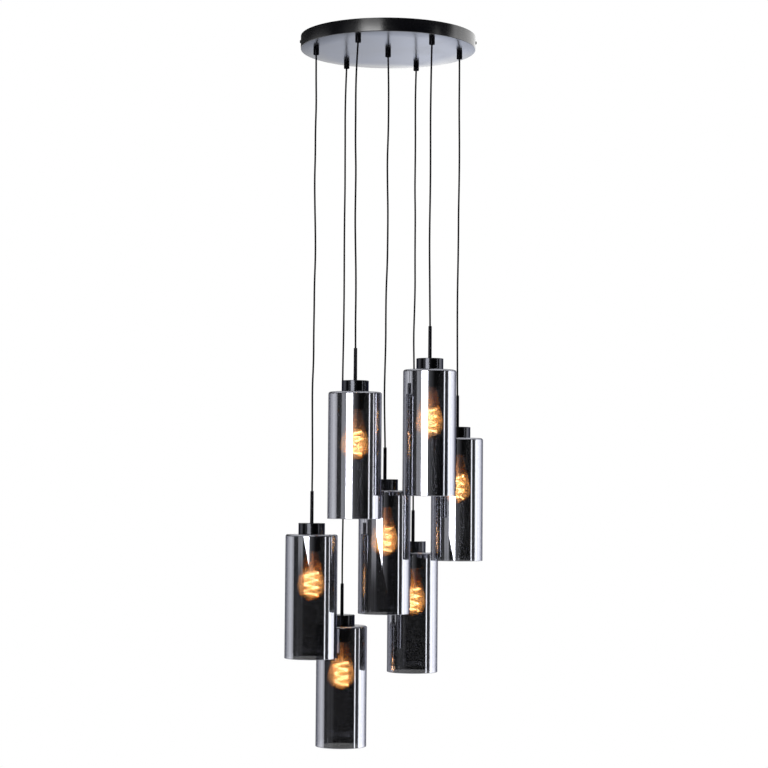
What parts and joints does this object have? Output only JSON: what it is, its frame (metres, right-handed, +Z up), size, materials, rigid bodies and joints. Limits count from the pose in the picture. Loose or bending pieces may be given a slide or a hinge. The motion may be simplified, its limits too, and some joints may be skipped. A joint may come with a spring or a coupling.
{
  "type": "cluster pendant light",
  "caption": "Ceiling light with a round black canopy and smoked glass cylinder shades that hang on cords at different heights, each with a spiral filament bulb.",
  "frame": {"origin": "on the ceiling, in the middle of the canopy and of the bracket's two screw slots", "axes": "+Z up into the ceiling, +X along the bracket, -Y towards the viewer of the picture"},
  "size_m": [0.4461, 0.4198, 1.628],
  "materials": {
    "canopy_paint": "satin",
    "zinc_steel": "zinc plated",
    "black_metal": "satin",
    "cap_paint": "satin",
    "white_plastic": "matte",
    "terminal_plastic": "matte",
    "cord_sheath": "matte",
    "earth_sheath": "matte",
    "holder_plastic": "matte",
    "smoke_glass": "smoked, glossy",
    "bulb_glass": "amber, glossy",
    "nickel": "nickel plated",
    "filament": "glowing"
  },
  "bodies": {
    "canopy": {"canopy": "canopy_paint", "ceiling_bracket": "zinc_steel", "m4_screws": "black_metal", "cord_grips": "black_metal", "grip_locknuts": "zinc_steel", "grip_clamp_screws": "zinc_steel", "wiring_box": "white_plastic", "wiring_box_lid": "white_plastic", "terminal_block": "terminal_plastic", "cord_tails": "cord_sheath", "earth_lead": "earth_sheath"},
    "pendant_1": {"cord_1": "cord_sheath", "stem_1": "black_metal", "cap_1": "cap_paint", "lampholder_1": "holder_plastic", "shade_ring_1": "holder_plastic", "shade_1": "smoke_glass"},
    "bulb_1": {"bulb_1": "bulb_glass"},
    "pendant_2": {"cord_2": "cord_sheath", "stem_2": "black_metal", "cap_2": "cap_paint", "lampholder_2": "holder_plastic", "shade_ring_2": "holder_plastic", "shade_2": "smoke_glass"},
    "bulb_2": {"bulb_2": "bulb_glass"},
    "pendant_3": {"cord_3": "cord_sheath", "stem_3": "black_metal", "cap_3": "cap_paint", "lampholder_3": "holder_plastic", "shade_ring_3": "holder_plastic", "shade_3": "smoke_glass"},
    "bulb_3": {"bulb_3": "bulb_glass"},
    "pendant_4": {"cord_4": "cord_sheath", "stem_4": "black_metal", "cap_4": "cap_paint", "lampholder_4": "holder_plastic", "shade_ring_4": "holder_plastic", "shade_4": "smoke_glass"},
    "bulb_4": {"bulb_4": "bulb_glass"},
    "pendant_5": {"cord_5": "cord_sheath", "stem_5": "black_metal", "cap_5": "cap_paint", "lampholder_5": "holder_plastic", "shade_ring_5": "holder_plastic", "shade_5": "smoke_glass"},
    "bulb_5": {"bulb_5": "bulb_glass"},
    "pendant_6": {"cord_6": "cord_sheath", "stem_6": "black_metal", "cap_6": "cap_paint", "lampholder_6": "holder_plastic", "shade_ring_6": "holder_plastic", "shade_6": "smoke_glass"},
    "bulb_6": {"bulb_6": "bulb_glass"},
    "pendant_7": {"cord_7": "cord_sheath", "stem_7": "black_metal", "cap_7": "cap_paint", "lampholder_7": "holder_plastic", "shade_ring_7": "holder_plastic", "shade_7": "smoke_glass"},
    "bulb_7": {"bulb_7": "bulb_glass"}
  },
  "joints": [
    {"name": "swing_1", "type": "hinge", "parent": "canopy", "child": "pendant_1", "pos_m": [0, 0, -0.041], "axis": [0.8078, 0.5895, 0], "range_deg": [-1, 3.5]},
    {"name": "bulb_turn_1", "type": "hinge", "parent": "pendant_1", "child": "bulb_1", "pos_m": [0, 0, -1.066], "axis": [0, 0, -1], "range_deg": [0, 900]},
    {"name": "swing_2", "type": "hinge", "parent": "canopy", "child": "pendant_2", "pos_m": [0.16406, 0.01759, -0.041], "axis": [0.1066, -0.9943, 0], "range_deg": [-0.7, 15]},
    {"name": "bulb_turn_2", "type": "hinge", "parent": "pendant_2", "child": "bulb_2", "pos_m": [0.16406, 0.01759, -0.946], "axis": [0, 0, -1], "range_deg": [0, 900]},
    {"name": "swing_3", "type": "hinge", "parent": "canopy", "child": "pendant_3", "pos_m": [0.0668, 0.15088, -0.041], "axis": [0.9144, -0.4048, 0], "range_deg": [-0.7, 15]},
    {"name": "bulb_turn_3", "type": "hinge", "parent": "pendant_3", "child": "bulb_3", "pos_m": [0.0668, 0.15088, -1.209], "axis": [0, 0, -1], "range_deg": [0, 900]},
    {"name": "swing_4", "type": "hinge", "parent": "canopy", "child": "pendant_4", "pos_m": [-0.09726, 0.13328, -0.041], "axis": [0.8078, 0.5895, 0], "range_deg": [-0.7, 15]},
    {"name": "bulb_turn_4", "type": "hinge", "parent": "pendant_4", "child": "bulb_4", "pos_m": [-0.09726, 0.13328, -1.38], "axis": [0, 0, -1], "range_deg": [0, 900]},
    {"name": "swing_5", "type": "hinge", "parent": "canopy", "child": "pendant_5", "pos_m": [-0.16406, -0.01759, -0.041], "axis": [-0.1066, 0.9943, 0], "range_deg": [-0.7, 15]},
    {"name": "bulb_turn_5", "type": "hinge", "parent": "pendant_5", "child": "bulb_5", "pos_m": [-0.16406, -0.01759, -1.166], "axis": [0, 0, -1], "range_deg": [0, 900]},
    {"name": "swing_6", "type": "hinge", "parent": "canopy", "child": "pendant_6", "pos_m": [-0.0668, -0.15088, -0.041], "axis": [-0.9144, 0.4048, 0], "range_deg": [-0.7, 15]},
    {"name": "bulb_turn_6", "type": "hinge", "parent": "pendant_6", "child": "bulb_6", "pos_m": [-0.0668, -0.15088, -0.851], "axis": [0, 0, -1], "range_deg": [0, 900]},
    {"name": "swing_7", "type": "hinge", "parent": "canopy", "child": "pendant_7", "pos_m": [0.09726, -0.13328, -0.041], "axis": [-0.8078, -0.5895, 0], "range_deg": [-0.7, 15]},
    {"name": "bulb_turn_7", "type": "hinge", "parent": "pendant_7", "child": "bulb_7", "pos_m": [0.09726, -0.13328, -0.8], "axis": [0, 0, -1], "range_deg": [0, 900]}
  ]
}
